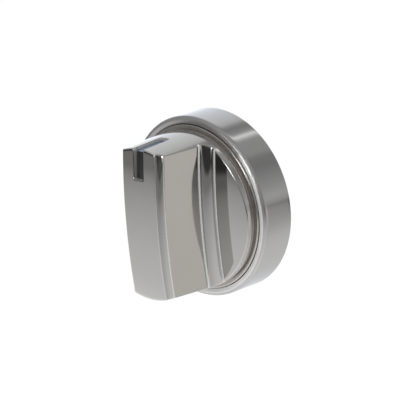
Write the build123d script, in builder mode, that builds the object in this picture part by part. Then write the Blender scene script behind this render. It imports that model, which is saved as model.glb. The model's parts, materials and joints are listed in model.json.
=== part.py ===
from build123d import *
import os
from math import asin, cos, degrees, radians, sin, sqrt, tan

# Oven control knob: a plated finger grip on a brushed steel skirt ring, carried by a moulded hub.
# It is modelled as it sits on the appliance, with the pointer up. Millimetres.
# The shaft lies along Y. Heights are measured forward from the back plane, and forward is -Y.

overrun = 1.0                 # how far a cutting shape is carried past what it cuts
near = 0.05                   # how far off its place a corner or edge may be and still be picked

# Skirt ring, drawn from sheet
ring_radius = 30.0
ring_height = 12.2            # to the front corner, before the lip is rounded
ring_sheet = 0.8
ring_draft = 1.2              # degrees, the side leans inwards towards the front
ring_lip_radius = 1.2
ring_lip_width = 2.8          # from the ring's radius in to its mouth
ring_mouth_drop = 0.4         # the mouth's edge lies this far below the lip's crest
ring_mouth_rounding = 0.5
ring_seat_height = 9.4        # front face of the flange that the grip sits on
ring_flange_width = 2.8       # from the mouth in to the ring's inner opening

# Finger grip: size of the crowned bar's section in the middle plane
grip_height = 36.5
crown_radius = 216.5          # the front face bows along the bar about an axis far behind the knob
face_half_width = 7.3
cove_width = 1.85
cove_depth = 1.9
cove_sagitta = 0.6
wall_draft = 7.4              # degrees, each side wall of the bar
groove_width = 3.25
groove_depth = 4.35
groove_sagitta = 1.6
floor_drop = 2.3              # the floor is domed and falls this far to the rim
floor_sagitta = 0.55
face_edge_radius = 0.4        # each side of the cove
groove_edge_radius = 0.9      # each side of the groove

# Finger grip: the round outline that cuts the section
bead_gap = 0.6                # between the bead and the ring's mouth
bead_rise = 0.1               # the bead's front face stands this far above the ring's height
bead_rounding = 0.3
neck_inset = 1.4              # the neck is this far inside the bead
neck_length = 1.4
disc_depth = 3.55             # from the neck to the floor at the groove's foot
end_inset = 2.05              # the end face is this far inside the bead at the grip's full height
end_draft = 3.7               # degrees
rim_edge_radius = 0.25

# Finger grip: shell and bosses
grip_wall = 2.8
post_radius = 3.0
post_hole_spare = 0.2         # the hole runs this far past the screw's point

# Pointer, an L of two legs that meet at the bar's upper front edge
slot_width = 4.3
slot_face_length = 9.7
slot_end_length = 13.0
slot_recess = 1.35            # the strip's surface lies this far below the metal
slot_corner_radius = 0.6
strip_thickness = 0.75
strip_clearance = 0.05

# Hub, a D bore for a round shaft with one flat
shaft_radius = 3.0
shaft_across_flat = 4.6
bore_clearance = 0.04
guide_bore_radius = 3.25
guide_bore_length = 7.0
bore_depth = 19.0
mouth_chamfer = 0.4
hub_radius = 7.4
hub_nose_radius = 6.0
hub_nose_height = 21.5
web_low = 6.6                 # back face of the web
flange_inset = 0.4            # the hub's flange is this far inside the ring's mouth radius
spigot_clearance = 0.2
rim_wall = 1.8
rib_count = 8
rib_start_angle = 22.5
rib_thickness = 1.6
rib_depth = 2.0               # the ribs and the rim stand back this far from the web
hub_edge_radius = 0.4

# Band pressed round the hub's mouth
band_wall = 0.8
band_low = 0.4
band_length = 4.0
band_clearance = 0.03

# Leaf spring beside the D's flat
clip_width = 3.0
clip_thickness = 0.4
clip_clearance = 0.1
clip_end_clearance = 0.4
clip_preload = 0.1            # the leaf's crown stands this far into the shaft's path
clip_pocket_depth = 1.6       # from the flat outwards

# Screws that join the hub to the grip
screw_count = 4
screw_circle_radius = 18.5
screw_start_angle = 45.0
screw_radius = 1.45
screw_length = 7.2
screw_head_radius = 2.9
screw_head_height = 1.9
screw_point_length = 1.2
screw_clearance = 0.05
screw_through_clearance = 0.25
recess_width = 0.8
recess_length = 3.0
recess_depth = 1.1


def forward(height):
    """The plane at a height in front of the back plane, facing forward."""
    return Plane.XZ.offset(height)


def turned(radius, height):
    """A point of a turned outline, drawn at its radius and height."""
    return (radius, -height)


# The round outlines, one inside another from the ring inwards
ring_mouth_radius = ring_radius - ring_lip_width
ring_flange_radius = ring_mouth_radius - ring_flange_width
bead_radius = ring_mouth_radius - bead_gap
neck_radius = bead_radius - neck_inset
end_radius = bead_radius - end_inset
neck_low = ring_height + bead_rise
neck_high = neck_low + neck_length


def end_cone_radius(height, inset=0.0):
    """The radius of the grip's round outline at a height."""
    return end_radius + (grip_height - height) * tan(radians(end_draft)) - inset


crown_axis_depth = crown_radius - grip_height
crown_axis = Axis((0, crown_axis_depth, 0), (1, 0, 0))
section_base_height = ring_seat_height - overrun - grip_wall
section_base_radius = crown_axis_depth + section_base_height
crown_angle = degrees(asin((bead_radius + overrun) / section_base_radius))
crown_start = Plane(
    origin=(0, crown_axis_depth, 0),
    x_dir=(1, 0, 0),
    z_dir=(0, -sin(radians(crown_angle)), -cos(radians(crown_angle))),
)


def crowned(x, height):
    """A point of the bar's section, drawn at its distance from the crown's axis."""
    return (x, crown_axis_depth + height)


# The section's corners: the floor is set from the neck, and the wall fills what the grip's height leaves
groove_height = neck_high + disc_depth
wall_height = groove_height + groove_depth
cove_height = grip_height - cove_depth
cove_x = face_half_width + cove_width
wall_x = cove_x + (cove_height - wall_height) * tan(radians(wall_draft))
groove_x = wall_x + groove_width
rim_x = bead_radius + overrun
rim_height = groove_height - floor_drop
cone_top = grip_height + overrun


# Skirt ring: one drawn sheet with a rolled lip, a throat and a flange that is clamped
ring_front_radius = ring_radius - ring_height * tan(radians(ring_draft))
throat_radius = ring_mouth_radius + ring_sheet
flange_back = ring_seat_height - ring_sheet
mouth_height = ring_height - ring_mouth_drop

with BuildPart() as skirt_ring:
    with BuildSketch(Plane.XY):
        with BuildLine():
            FilletPolyline(
                turned(ring_radius, 0),
                turned(ring_front_radius, ring_height),
                turned(ring_mouth_radius, mouth_height),
                turned(ring_mouth_radius, ring_seat_height),
                turned(ring_flange_radius, ring_seat_height),
                turned(ring_flange_radius, flange_back),
                turned(throat_radius, flange_back),
                turned(throat_radius, mouth_height - ring_sheet),
                turned(ring_front_radius - ring_sheet, ring_height - ring_sheet),
                turned(ring_radius - ring_sheet, 0),
                radius=[
                    0,
                    ring_lip_radius,
                    ring_mouth_rounding,
                    ring_mouth_rounding / 2,
                    0,
                    0,
                    ring_mouth_rounding,
                    0,
                    ring_lip_radius - ring_sheet,
                    0,
                ],
                close=True,
            )
        make_face()
    revolve(axis=Axis.Y)


# The bar in section: a flat face, a cove, a drafted wall, a deeper groove and a domed floor each side
with BuildSketch() as bar_section:
    with BuildLine():
        Polyline(
            crowned(0, section_base_height),
            crowned(0, grip_height),
            crowned(face_half_width, grip_height),
        )
        SagittaArc(
            crowned(face_half_width, grip_height),
            crowned(cove_x, cove_height),
            -cove_sagitta,
        )
        Line(crowned(cove_x, cove_height), crowned(wall_x, wall_height))
        SagittaArc(
            crowned(wall_x, wall_height),
            crowned(groove_x, groove_height),
            -groove_sagitta,
        )
        SagittaArc(
            crowned(groove_x, groove_height),
            crowned(rim_x, rim_height),
            floor_sagitta,
        )
        Polyline(
            crowned(rim_x, rim_height),
            crowned(rim_x, section_base_height),
            crowned(0, section_base_height),
        )
    make_face()
    mirror(about=Plane.YZ)


# The pointer's slot: an L seen from the side, cut down to a floor that follows the metal's surface
slot_face_low = end_radius - slot_face_length
slot_end_low = grip_height - slot_end_length
slot_depth = slot_recess + strip_thickness
crown_fall = crown_radius - sqrt(crown_radius**2 - end_radius**2)
slot_floor_height = grip_height - crown_fall - slot_depth - overrun
slot_floor_radius = end_radius - slot_depth - overrun


def slot_legs(narrowing):
    """The slot's two legs, carried out past the metal, each side moved in by narrowing."""
    leg_width = slot_width - 2 * narrowing
    corner = slot_corner_radius - narrowing
    face_low = slot_face_low + narrowing
    face_high = end_cone_radius(0) + overrun
    end_low = slot_end_low + narrowing
    end_high = grip_height + overrun
    with BuildPart() as legs:
        with BuildSketch(forward(slot_floor_height)):
            with Locations((0, (face_low + face_high) / 2)):
                RectangleRounded(leg_width, face_high - face_low, corner)
        extrude(amount=end_high - slot_floor_height)
        with BuildSketch(Plane.XY.offset(slot_floor_radius)):
            with Locations((0, -(end_low + end_high) / 2)):
                RectangleRounded(leg_width, end_high - end_low, corner)
        extrude(amount=face_high - slot_floor_radius)
    return legs.part


def crowned_drum(inset):
    """The bar's crowned front and its round ends alone, moved in by inset."""
    with BuildPart() as drum:
        with BuildSketch(crown_start):
            with Locations((0, crown_axis_depth + (grip_height - inset) / 2)):
                Rectangle(2 * slot_width, grip_height - inset)
        revolve(axis=crown_axis, revolution_arc=2 * crown_angle)
        with BuildSketch(Plane.XY):
            with BuildLine():
                Polyline(
                    turned(0, 0),
                    turned(end_cone_radius(0, inset), 0),
                    turned(end_cone_radius(cone_top, inset), cone_top),
                    turned(0, cone_top),
                    close=True,
                )
            make_face()
        revolve(axis=Axis.Y, mode=Mode.INTERSECT)
    return drum.part


# Finger grip: the crowned section cut to the round outline, hollow behind but for four screw posts
screw_point_height = web_low + screw_length

with BuildPart() as slot_space:
    add(slot_legs(0))
    add(crowned_drum(slot_depth), mode=Mode.SUBTRACT)

with BuildPart() as grip_cavity:
    with BuildSketch(crown_start):
        add(bar_section.sketch)
        offset(amount=-grip_wall)
    revolve(axis=crown_axis, revolution_arc=2 * crown_angle)
    with BuildSketch(Plane.XY):
        with BuildLine():
            Polyline(
                turned(0, ring_seat_height),
                turned(end_cone_radius(ring_seat_height, grip_wall), ring_seat_height),
                turned(end_cone_radius(grip_height, grip_wall), grip_height),
                turned(0, grip_height),
                close=True,
            )
        make_face()
    revolve(axis=Axis.Y, mode=Mode.INTERSECT)
    with BuildSketch(forward(ring_seat_height)):
        with PolarLocations(screw_circle_radius, screw_count, start_angle=screw_start_angle):
            Circle(post_radius)
    extrude(amount=grip_height - ring_seat_height, mode=Mode.SUBTRACT)

with BuildPart() as grip_cover:
    with BuildSketch(crown_start):
        add(bar_section.sketch)
        cove_corners = vertices().filter_by(lambda v: v.Y > crown_axis_depth + cove_height - near)
        fillet(cove_corners, face_edge_radius)
        groove_corners = vertices().filter_by(
            lambda v: wall_x - near < abs(v.X) < groove_x + near and v.Y > crown_axis_depth + rim_height
        )
        fillet(groove_corners, groove_edge_radius)
    revolve(axis=crown_axis, revolution_arc=2 * crown_angle)
    with BuildSketch(Plane.XY):
        with BuildLine():
            FilletPolyline(
                turned(0, ring_seat_height),
                turned(bead_radius, ring_seat_height),
                turned(bead_radius, neck_low),
                turned(neck_radius, neck_low),
                turned(neck_radius, neck_high),
                turned(end_cone_radius(neck_high), neck_high),
                turned(end_cone_radius(cone_top), cone_top),
                turned(0, cone_top),
                radius=[0, 0, bead_rounding, bead_rounding, bead_rounding, bead_rounding, 0, 0],
                close=True,
            )
        make_face()
    revolve(axis=Axis.Y, mode=Mode.INTERSECT)
    fillet(edges().filter_by(GeomType.BSPLINE), rim_edge_radius)
    add(slot_space.part, mode=Mode.SUBTRACT)
    add(grip_cavity.part, mode=Mode.SUBTRACT)
    with BuildSketch(forward(ring_seat_height)):
        with PolarLocations(screw_circle_radius, screw_count, start_angle=screw_start_angle):
            Circle(screw_radius + screw_clearance)
    extrude(amount=screw_point_height + post_hole_spare - ring_seat_height, mode=Mode.SUBTRACT)


# Pointer strip: a thin black L bedded on the slot's floor
with BuildPart() as pointer_strip:
    add(slot_legs(strip_clearance))
    add(crowned_drum(slot_recess), mode=Mode.INTERSECT)
    add(crowned_drum(slot_depth), mode=Mode.SUBTRACT)


# Hub: a ribbed web with a spigot and flange that clamp the ring, and a D bore for the shaft
flange_radius = ring_mouth_radius - flange_inset
rib_low = web_low - rib_depth
spigot_radius = ring_flange_radius - spigot_clearance
band_seat_radius = hub_radius - band_wall
band_high = band_low + band_length
bore_radius = shaft_radius + bore_clearance
flat_offset = shaft_across_flat - shaft_radius + bore_clearance

with BuildPart() as hub:
    with BuildSketch(Plane.XY):
        with BuildLine():
            Polyline(
                turned(0, 0),
                turned(band_seat_radius, 0),
                turned(band_seat_radius, band_high),
                turned(hub_radius, band_high),
                turned(hub_radius, web_low),
                turned(flange_radius - rim_wall, web_low),
                turned(flange_radius - rim_wall, rib_low),
                turned(flange_radius, rib_low),
                turned(flange_radius, flange_back),
                turned(spigot_radius, flange_back),
                turned(spigot_radius, ring_seat_height),
                turned(hub_nose_radius, ring_seat_height),
                turned(hub_nose_radius, hub_nose_height),
                turned(0, hub_nose_height),
                close=True,
            )
        make_face()
    revolve(axis=Axis.Y)
    nose_edge = edges().filter_by(GeomType.CIRCLE).sort_by(Axis.Y)[0]
    chamfer(nose_edge, hub_edge_radius)
    rib_reach = flange_radius - rim_wall / 2 - hub_nose_radius
    with BuildSketch(forward(rib_low)):
        with PolarLocations(hub_nose_radius + rib_reach / 2, rib_count, start_angle=rib_start_angle):
            Rectangle(rib_reach, rib_thickness)
    extrude(amount=rib_depth)
    with BuildSketch(Plane.XZ):
        Circle(guide_bore_radius)
    extrude(amount=guide_bore_length, mode=Mode.SUBTRACT)
    with BuildSketch(forward(guide_bore_length)):
        Circle(bore_radius)
        with Locations((0, flat_offset + bore_radius)):
            Rectangle(2 * bore_radius, 2 * bore_radius, mode=Mode.SUBTRACT)
        with Locations((0, flat_offset)):
            Rectangle(
                clip_width + 2 * clip_clearance,
                clip_pocket_depth,
                align=(Align.CENTER, Align.MIN),
            )
    extrude(amount=bore_depth - guide_bore_length, mode=Mode.SUBTRACT)
    mouth_edge = edges().filter_by(GeomType.CIRCLE).filter_by(
        lambda e: abs(e.radius - guide_bore_radius) < near and e.center().Y > -near
    )
    chamfer(mouth_edge, mouth_chamfer)
    with BuildSketch(forward(web_low)):
        with PolarLocations(screw_circle_radius, screw_count, start_angle=screw_start_angle):
            Circle(screw_radius + screw_through_clearance)
    extrude(amount=ring_seat_height - web_low, mode=Mode.SUBTRACT)


# Steel band round the hub's mouth, which keeps the moulding from splitting on the shaft
with BuildPart() as hub_band:
    with BuildSketch(forward(band_low)):
        Circle(hub_radius)
        Circle(band_seat_radius + band_clearance, mode=Mode.SUBTRACT)
    extrude(amount=band_length)


# Leaf spring in the pocket beside the flat: a bowed strip that grips the shaft
clip_seat = flat_offset + clip_pocket_depth - clip_clearance
clip_crown = flat_offset - bore_clearance - clip_preload
clip_low = guide_bore_length + clip_end_clearance
clip_high = bore_depth - clip_end_clearance
clip_middle = (clip_low + clip_high) / 2

with BuildPart() as shaft_clip:
    with BuildSketch(Plane.YZ):
        with BuildLine():
            ThreePointArc(
                (-clip_low, clip_seat),
                (-clip_middle, clip_crown + clip_thickness),
                (-clip_high, clip_seat),
            )
            Line((-clip_high, clip_seat), (-clip_high, clip_seat - clip_thickness))
            ThreePointArc(
                (-clip_high, clip_seat - clip_thickness),
                (-clip_middle, clip_crown),
                (-clip_low, clip_seat - clip_thickness),
            )
            Line((-clip_low, clip_seat - clip_thickness), (-clip_low, clip_seat))
        make_face()
    extrude(amount=clip_width / 2, both=True)


# Screws: pan heads with a cross recess, driven from the back into the grip's posts
def hub_screw(place):
    """One screw in its seat, with its head against the web's back face."""
    with BuildPart() as screw:
        with BuildSketch(Plane.XY):
            with BuildLine():
                FilletPolyline(
                    turned(0, web_low - screw_head_height),
                    turned(screw_head_radius, web_low - screw_head_height),
                    turned(screw_head_radius, web_low),
                    turned(screw_radius, web_low),
                    turned(screw_radius, screw_point_height - screw_point_length),
                    turned(0, screw_point_height),
                    radius=[0, screw_head_height / 2, 0, 0, 0, 0],
                    close=True,
                )
            make_face()
        revolve(axis=Axis.Y)
        with BuildSketch(forward(web_low - screw_head_height)):
            Rectangle(recess_length, recess_width)
            Rectangle(recess_width, recess_length)
        extrude(amount=recess_depth, mode=Mode.SUBTRACT)
    return screw.part.moved(place)


screw_places = PolarLocations(screw_circle_radius, screw_count, start_angle=screw_start_angle)
screws = {}
for number, place in enumerate(screw_places.local_locations, start=1):
    across, up, _ = place.position
    screws[f"hub_screw_{number}"] = hub_screw(Location((across, 0, up)))


grip_cover.part.label = "grip_cover"
pointer_strip.part.label = "pointer_strip"
skirt_ring.part.label = "skirt_ring"
hub.part.label = "hub"
hub_band.part.label = "hub_band"
shaft_clip.part.label = "shaft_clip"

os.makedirs("parts", exist_ok=True)
export_step(grip_cover.part, "parts/grip_cover.step")
export_step(pointer_strip.part, "parts/pointer_strip.step")
export_step(skirt_ring.part, "parts/skirt_ring.step")
export_step(hub.part, "parts/hub.step")
export_step(hub_band.part, "parts/hub_band.step")
export_step(shaft_clip.part, "parts/shaft_clip.step")
for name, screw in screws.items():
    screw.label = name
    export_step(screw, f"parts/{name}.step")
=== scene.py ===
import json
from math import cos, radians, sin, tan

import bmesh
import bpy
import numpy as np
from mathutils import Matrix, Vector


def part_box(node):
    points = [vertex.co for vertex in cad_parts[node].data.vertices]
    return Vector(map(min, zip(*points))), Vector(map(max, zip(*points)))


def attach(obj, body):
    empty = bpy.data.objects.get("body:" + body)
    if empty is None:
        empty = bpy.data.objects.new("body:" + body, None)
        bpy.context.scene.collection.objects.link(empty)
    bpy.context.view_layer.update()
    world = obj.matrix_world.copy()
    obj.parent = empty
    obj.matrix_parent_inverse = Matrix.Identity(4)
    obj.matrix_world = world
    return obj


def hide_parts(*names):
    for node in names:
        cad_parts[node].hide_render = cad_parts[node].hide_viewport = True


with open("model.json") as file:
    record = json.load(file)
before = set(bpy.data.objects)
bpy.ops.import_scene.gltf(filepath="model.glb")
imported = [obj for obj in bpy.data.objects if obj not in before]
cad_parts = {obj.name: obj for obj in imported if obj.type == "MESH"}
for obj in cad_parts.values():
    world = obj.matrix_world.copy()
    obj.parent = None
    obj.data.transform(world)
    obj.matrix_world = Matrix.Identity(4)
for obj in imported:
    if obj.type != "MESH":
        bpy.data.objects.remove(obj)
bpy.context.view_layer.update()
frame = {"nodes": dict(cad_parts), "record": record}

bl_info = {
    "name": "Oven control knob",
    "version": (1, 0, 0),
    "blender": (4, 5, 0),
    "location": "3D View > Sidebar > Knob",
    "description": "Dresses the packed oven control knob: plated grip, brushed skirt ring, hub and studio",
    "category": "Add Mesh",
}

# The knob's axis lies along Y, forward is -Y and the pointer is up. Heights are measured forward from the
# back plane.
MM = 0.001
GRIP_LOW, GRIP_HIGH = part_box("grip_cover")
RING_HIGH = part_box("skirt_ring")[1]
STRIP_LOW, STRIP_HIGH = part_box("pointer_strip")
SLOTS = {part["node"]: part["material_slot"] for part in frame["record"]["subparts"]}

# Points nearer to each other than this are made one
MERGE = 0.0003 * MM
# Steps over the grip's half section: its straight and hollow pieces, the edges between them, and the floor
FACE_STEPS, COVE_STEPS, WALL_STEPS, GROOVE_STEPS = 25, 10, 26, 14
EDGE_STEPS, FLOOR_STEPS = 8, 46
# Points from which the floor's steps are read, and how far the floor runs past the bead before it is cut
FLOOR_SAMPLES, FLOOR_OVERRUN = 400, 1.0 * MM
# Rows along the bar, over its rim, down its round end and along the ceiling inside
BAR_ROWS, RIM_ROWS, END_ROWS, CEILING_ROWS = 97, 7, 13, 15
# Shares of the way at which rows lie on the inner walls, and on the skin round the slot
WALL_ROWS, SKIN_ROWS = (0.33, 0.67), (0.35, 0.7, 1.0)
# Turns in degrees of the rows over the slot's rounded rim
LIP_TURNS = (22.5, 45, 67.5, 90)
# Steps round each edge of the neck and bead, and of the ring
NECK_EDGE_STEPS, RING_EDGE_STEPS = 4, 10
# Points along each straight piece of the ring: from the back edge's middle up the side, over the front,
# down the throat to the flange, and back along the sheet's inside
RING_STEPS = (2, 12, 3, 4, 3, 2, 3, 4, 3, 6, 2)
# How far the round end's foot lies above the disc's underside, and the shell's inside above the seat
FOOT_RISE, INNER_RISE = 0.5 * MM, 2.0 * MM
# The ceiling's corners beside the wall and under the floor, from the cove's edge, in wall thicknesses
CEILING_IN, CEILING_OUT = 0.4, 1.1
# Feet of the round end's columns: shares of the wall foot's and the groove end's distance from the middle
WALL_LEAN, GROOVE_LEAN = 0.756, 0.724
# Rounds in which a point that lies on two curved surfaces settles
ROUNDS = 24

# The range that noise mostly takes
NOISE_RANGE = (0.3, 0.7)
# Ridges with a painted highlight: number of the corner in the bar's half section, the ridge's shift from
# it, where its highlight starts to fade and where it ends, all in millimetres, and its strength
RIDGES = (
    (1, (0.0, 0.0), 0.15, 0.40, 0.30),
    (2, (0.0, 0.0), 0.15, 0.40, 0.45),
    (3, (-0.25, -0.90), 0.20, 0.70, 0.75),
    (4, (0.0, 0.0), 0.05, 0.45, 0.70),
)
# The rim's painted highlight: where it starts to fade and where it ends, in millimetres, and its strength
RIM = (0.15, 0.45, 0.20)
# Places on the plating: share of the metal's mirror that is lost, roughness and tone
PLATING_PLACES = (
    (1.0, 0.25, (1.0, 1.0, 1.0)),  # ridges and rim: painted highlight
    (0.2, 0.22, (0.46, 0.43, 0.40)),  # neck: painted shade under the disc
    (0.3, 0.42, (0.62, 0.62, 0.61)),  # slot's walls
    (0.8, 0.42, (0.50, 0.49, 0.48)),  # slot's walls over the bar's end: painted shade
    (0.8, 0.42, (0.33, 0.38, 0.48)),  # deep half of these: painted shade with a painted bluish reflection
)
# Heights above the disc's underside at which the neck's painted shade starts and is full
NECK_START, NECK_FULL = 0.3 * MM, 0.1 * MM
# Half the width over which it fades at the bead
BEAD_FADE = 0.1 * MM
# Depths under the skin at which the slot's satin wall starts and is full
SLOT_WALL = (0.15 * MM, 0.35 * MM)
# Depths behind the face at which the wall's part over the bar's end, with its painted shade, starts and is
# full
SLOT_END = (1.7 * MM, 2.4 * MM)
# Depths under the round end at which that part's deep half, with its painted bluish reflection, starts and
# is full
SLOT_DEEP = (0.80 * MM, 0.95 * MM)
# How far the wall's mask reaches past the slot's sides, and past its back end
SLOT_BESIDE, SLOT_PAST = 0.1 * MM, 0.2 * MM
# The coves' haze: its soft edges beside the face and above the cove's foot
HAZE_BESIDE, HAZE_ABOVE = (0.1 * MM, 0.5 * MM), (-0.1 * MM, 0.3 * MM)
# Where it starts up the bar, where it falls off near the bar's end, and its shares before and past that
HAZE_STARTS, HAZE_ENDS, HAZE_SHARES = (13.0 * MM, 18.0 * MM), (20.0 * MM, 23.0 * MM), (0.085, 0.02)
# Depths below the ring's front between which the lip's finish fades
LIP_FADE = (0.8 * MM, 1.5 * MM)
# Distances out from the mouth over which the lip's crest, which takes a painted highlight, starts, and over
# which it ends
CREST_IN, CREST_OUT = (0.0, 0.2 * MM), (1.5 * MM, 1.85 * MM)
# The crest's painted highlight: where it starts and is full, as x less z over the radius, and the mirror it
# loses
HIGHLIGHT_SIDE, HIGHLIGHT_LOSS = (-0.05, 0.20), 0.42
# The brushed highlight's spread, and its turn from round the ring to across the lines, in whole turns
BRUSH_SPREAD, QUARTER_TURN = 0.8, 0.25
# Depths behind the face at which the pointer's leg over the bar's end starts and is full
LEG_STARTS = (2.6 * MM, 3.0 * MM)
# The leg's painted blue-grey reflection at a low angle, and where such an angle starts and is full: 0 is
# straight on, 1 is grazing
LEG_REFLECTION, LOW_ANGLE = (0.25, 0.30, 0.39), (0.5, 0.7)
# The gloss strip's refraction
GLOSS_IOR = 1.8


def length(name, description, default):
    """A size in metres, shown in the scene's units."""
    return bpy.props.FloatProperty(
        name=name, description=description, default=default, unit="LENGTH", precision=5
    )


def angle(name, description, default):
    """An angle, given in degrees and kept in radians."""
    return bpy.props.FloatProperty(
        name=name, description=description, default=radians(default), unit="ROTATION", subtype="ANGLE"
    )


def factor(name, description, default):
    """A plain number from 0 to 1."""
    return bpy.props.FloatProperty(
        name=name, description=description, default=default, min=0, max=1, subtype="FACTOR"
    )


def colour(name, description, default):
    """A colour, as linear red, green and blue."""
    return bpy.props.FloatVectorProperty(
        name=name, description=description, default=default, size=3, min=0, max=1, subtype="COLOR"
    )


class KnobGripSizes(bpy.types.PropertyGroup):
    """The finger grip: a crowned section cut to a round outline."""

    height: length("Height", "Front face above the back plane, in the middle", -GRIP_LOW.y)
    seat_height: length("Seat height", "Back edge of the grip above the back plane", -GRIP_HIGH.y)
    crown_radius: length("Crown radius", "Radius of the front face's bow along the bar", 216.5 * MM)
    face_half_width: length("Face half width", "Half of the flat front face", 7.3 * MM)
    cove_width: length("Cove width", "Cove beside the face, across the bar", 1.85 * MM)
    cove_depth: length("Cove depth", "Cove beside the face, down from it", 1.9 * MM)
    cove_sagitta: length("Cove hollow", "How far the cove is hollowed", 0.6 * MM)
    wall_draft: angle("Wall draft", "Lean of the bar's side walls", 7.4)
    groove_width: length("Groove width", "Groove at the wall's foot, across the bar", 3.25 * MM)
    groove_depth: length("Groove depth", "Groove at the wall's foot, down from it", 4.35 * MM)
    groove_sagitta: length("Groove hollow", "How far the groove is hollowed", 1.6 * MM)
    floor_height: length("Floor height", "Floor at the groove's foot above the back plane", 17.25 * MM)
    floor_drop: length("Floor drop", "Fall of the domed floor out to the rim", 2.3 * MM)
    floor_sagitta: length("Floor dome", "How far the floor is domed", 0.55 * MM)
    face_edge: length("Face edge", "Rounding each side of the cove", 0.4 * MM)
    groove_edge: length("Groove edge", "Rounding each side of the groove", 0.9 * MM)
    rim_edge: length("Rim edge", "Rounding between the section and the round end", 0.38 * MM)
    end_radius: length("End radius", "Round end's radius at the full height", 24.55 * MM)
    end_draft: angle("End draft", "Lean of the round end", 3.7)
    neck_radius: length("Neck radius", "Waist below the disc", 25.2 * MM)
    neck_low: length("Neck low", "Front of the bead", 12.3 * MM)
    neck_high: length("Neck high", "Underside of the disc", 13.7 * MM)
    bead_radius: length("Bead radius", "Bead inside the ring's mouth", GRIP_HIGH.x)
    bead_fullness: length("Bead fullness", "How far the bead is drawn past the solid's", 0.48 * MM)
    neck_edge: length("Neck edge", "Rounding of the neck and bead", 0.3 * MM)
    wall: length("Wall", "Thickness of the shell", 2.8 * MM)


class KnobSlotSizes(bpy.types.PropertyGroup):
    """The pointer's slot, an L over the bar's upper front edge."""

    half_width: length("Half width", "Half of the slot's width", STRIP_HIGH.x + 0.05 * MM)
    face_low: length("Face end", "Where the slot ends on the front face", STRIP_LOW.z - 0.05 * MM)
    end_low: length("Back end", "Where the slot ends on the round end", -STRIP_HIGH.y - 0.05 * MM)
    corner: length("Corner", "Rounding of the slot's ends", 0.6 * MM)
    depth: length("Depth", "Depth of the slot down to the strip's bed", 2.1 * MM)
    lip: length("Lip", "Rounding of the slot's rim", 0.25 * MM)
    margin: length("Margin", "Skin round the slot that is worked out with it", 1.25 * MM)


class KnobRingSizes(bpy.types.PropertyGroup):
    """The skirt ring: one drawn sheet with a rolled lip, a throat and a flange."""

    radius: length("Radius", "Outer radius at the back edge", RING_HIGH.x)
    height: length("Height", "Front corner before the lip is rounded", 12.2 * MM)
    sheet: length("Sheet", "Thickness of the steel", 0.8 * MM)
    draft: angle("Draft", "Lean of the side", 1.2)
    lip: length("Lip", "Rounding of the lip", 1.2 * MM)
    mouth_radius: length("Mouth radius", "Opening round the grip", 27.2 * MM)
    mouth_drop: length("Mouth drop", "How far the mouth lies below the lip's corner", 0.4 * MM)
    mouth_edge: length("Mouth edge", "Rounding of the mouth", 0.5 * MM)
    flange_radius: length("Flange radius", "Inner opening of the flange", 24.4 * MM)
    cut_edge: length("Cut edge", "Rounding of the sheet's cut edges", 0.12 * MM)
    segments: bpy.props.IntProperty(name="Segments", description="Steps round", default=384, min=64)


class KnobColours(bpy.types.PropertyGroup):
    """Colours and polish of the knob's finishes."""

    plating: colour("Plating", "Bright nickel-chrome on the grip", (0.60, 0.59, 0.57))
    plating_roughness: factor("Plating roughness", "Haze of the plating", 0.06)
    steel: colour("Steel", "Stainless sheet of the ring", (0.590, 0.583, 0.579))
    black: colour("Pointer black", "Gloss strip in the slot", (0.012, 0.012, 0.013))
    moulding: colour("Moulding", "Black hub", (0.020, 0.020, 0.022))
    zinc: colour("Zinc", "Plated band and screws", (0.62, 0.62, 0.60))
    brushed_roughness: factor("Brushed roughness", "Haze of the brushed side", 0.12)
    lip_roughness: factor("Lip roughness", "Haze of the turned lip", 0.36)
    brush_lines: bpy.props.FloatProperty(
        name="Brush lines", description="Brush lines per metre", default=9000, min=1
    )
    blued: colour("Blued steel", "Leaf spring in the bore", (0.16, 0.17, 0.21))


class KnobStage(bpy.types.PropertyGroup):
    """The floor and the camera."""

    floor_size: length("Floor size", "Side of the square floor", 9.0)
    floor_depth: length("Floor depth", "How far the floor lies below the shaft's axis", 0.12)
    floor_colour: colour("Floor colour", "Pale paper", (0.8, 0.8, 0.8))
    floor_glow: factor("Floor glow", "Light added to the floor where it is seen", 0.22)
    distance: length("Distance", "Camera to the bore's mouth", 0.6)
    azimuth: angle("Azimuth", "Camera's turn from the front towards the right", 45.542)
    elevation: angle("Elevation", "Camera's height angle", 16.126)
    roll: angle("Roll", "Camera's tilt about its view", -4.151)
    aim_right: length("Aim right", "How far the bore's mouth lies right of the middle", 4.681 * MM)
    aim_up: length("Aim up", "How far the bore's mouth lies above the middle", 3.308 * MM)
    lens: bpy.props.FloatProperty(name="Lens", description="Focal length in mm", default=159.7, min=1)


def arc(start, end, sagitta, t):
    """Points and unit tangents at the shares t of the arc from start to end that bulges left by sagitta.

    The radius is (chord squared / 4 + sagitta squared) / (2 sagitta), the centre lies on the chord's
    bisector, and the angle runs evenly from one end to the other. With no sagitta it is the straight line.
    """
    start, end, t = np.array(start), np.array(end), np.asarray(t)[:, None]
    chord = np.hypot(*(end - start))
    along = (end - start) / chord
    left = np.array([-along[1], along[0]])
    if sagitta == 0:
        return start + (end - start) * t, np.repeat(along[None], len(t), 0)
    radius = (chord**2 / 4 + sagitta**2) / (2 * sagitta)
    a = (2 * t - 1) * np.arcsin(chord / 2 / abs(radius))
    centre = (start + end) / 2 + left * (sagitta - radius)
    points = centre + left * radius * np.cos(a) + along * abs(radius) * np.sin(a)
    return points, along * np.cos(a) - left * np.sign(radius) * np.sin(a)


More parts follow.
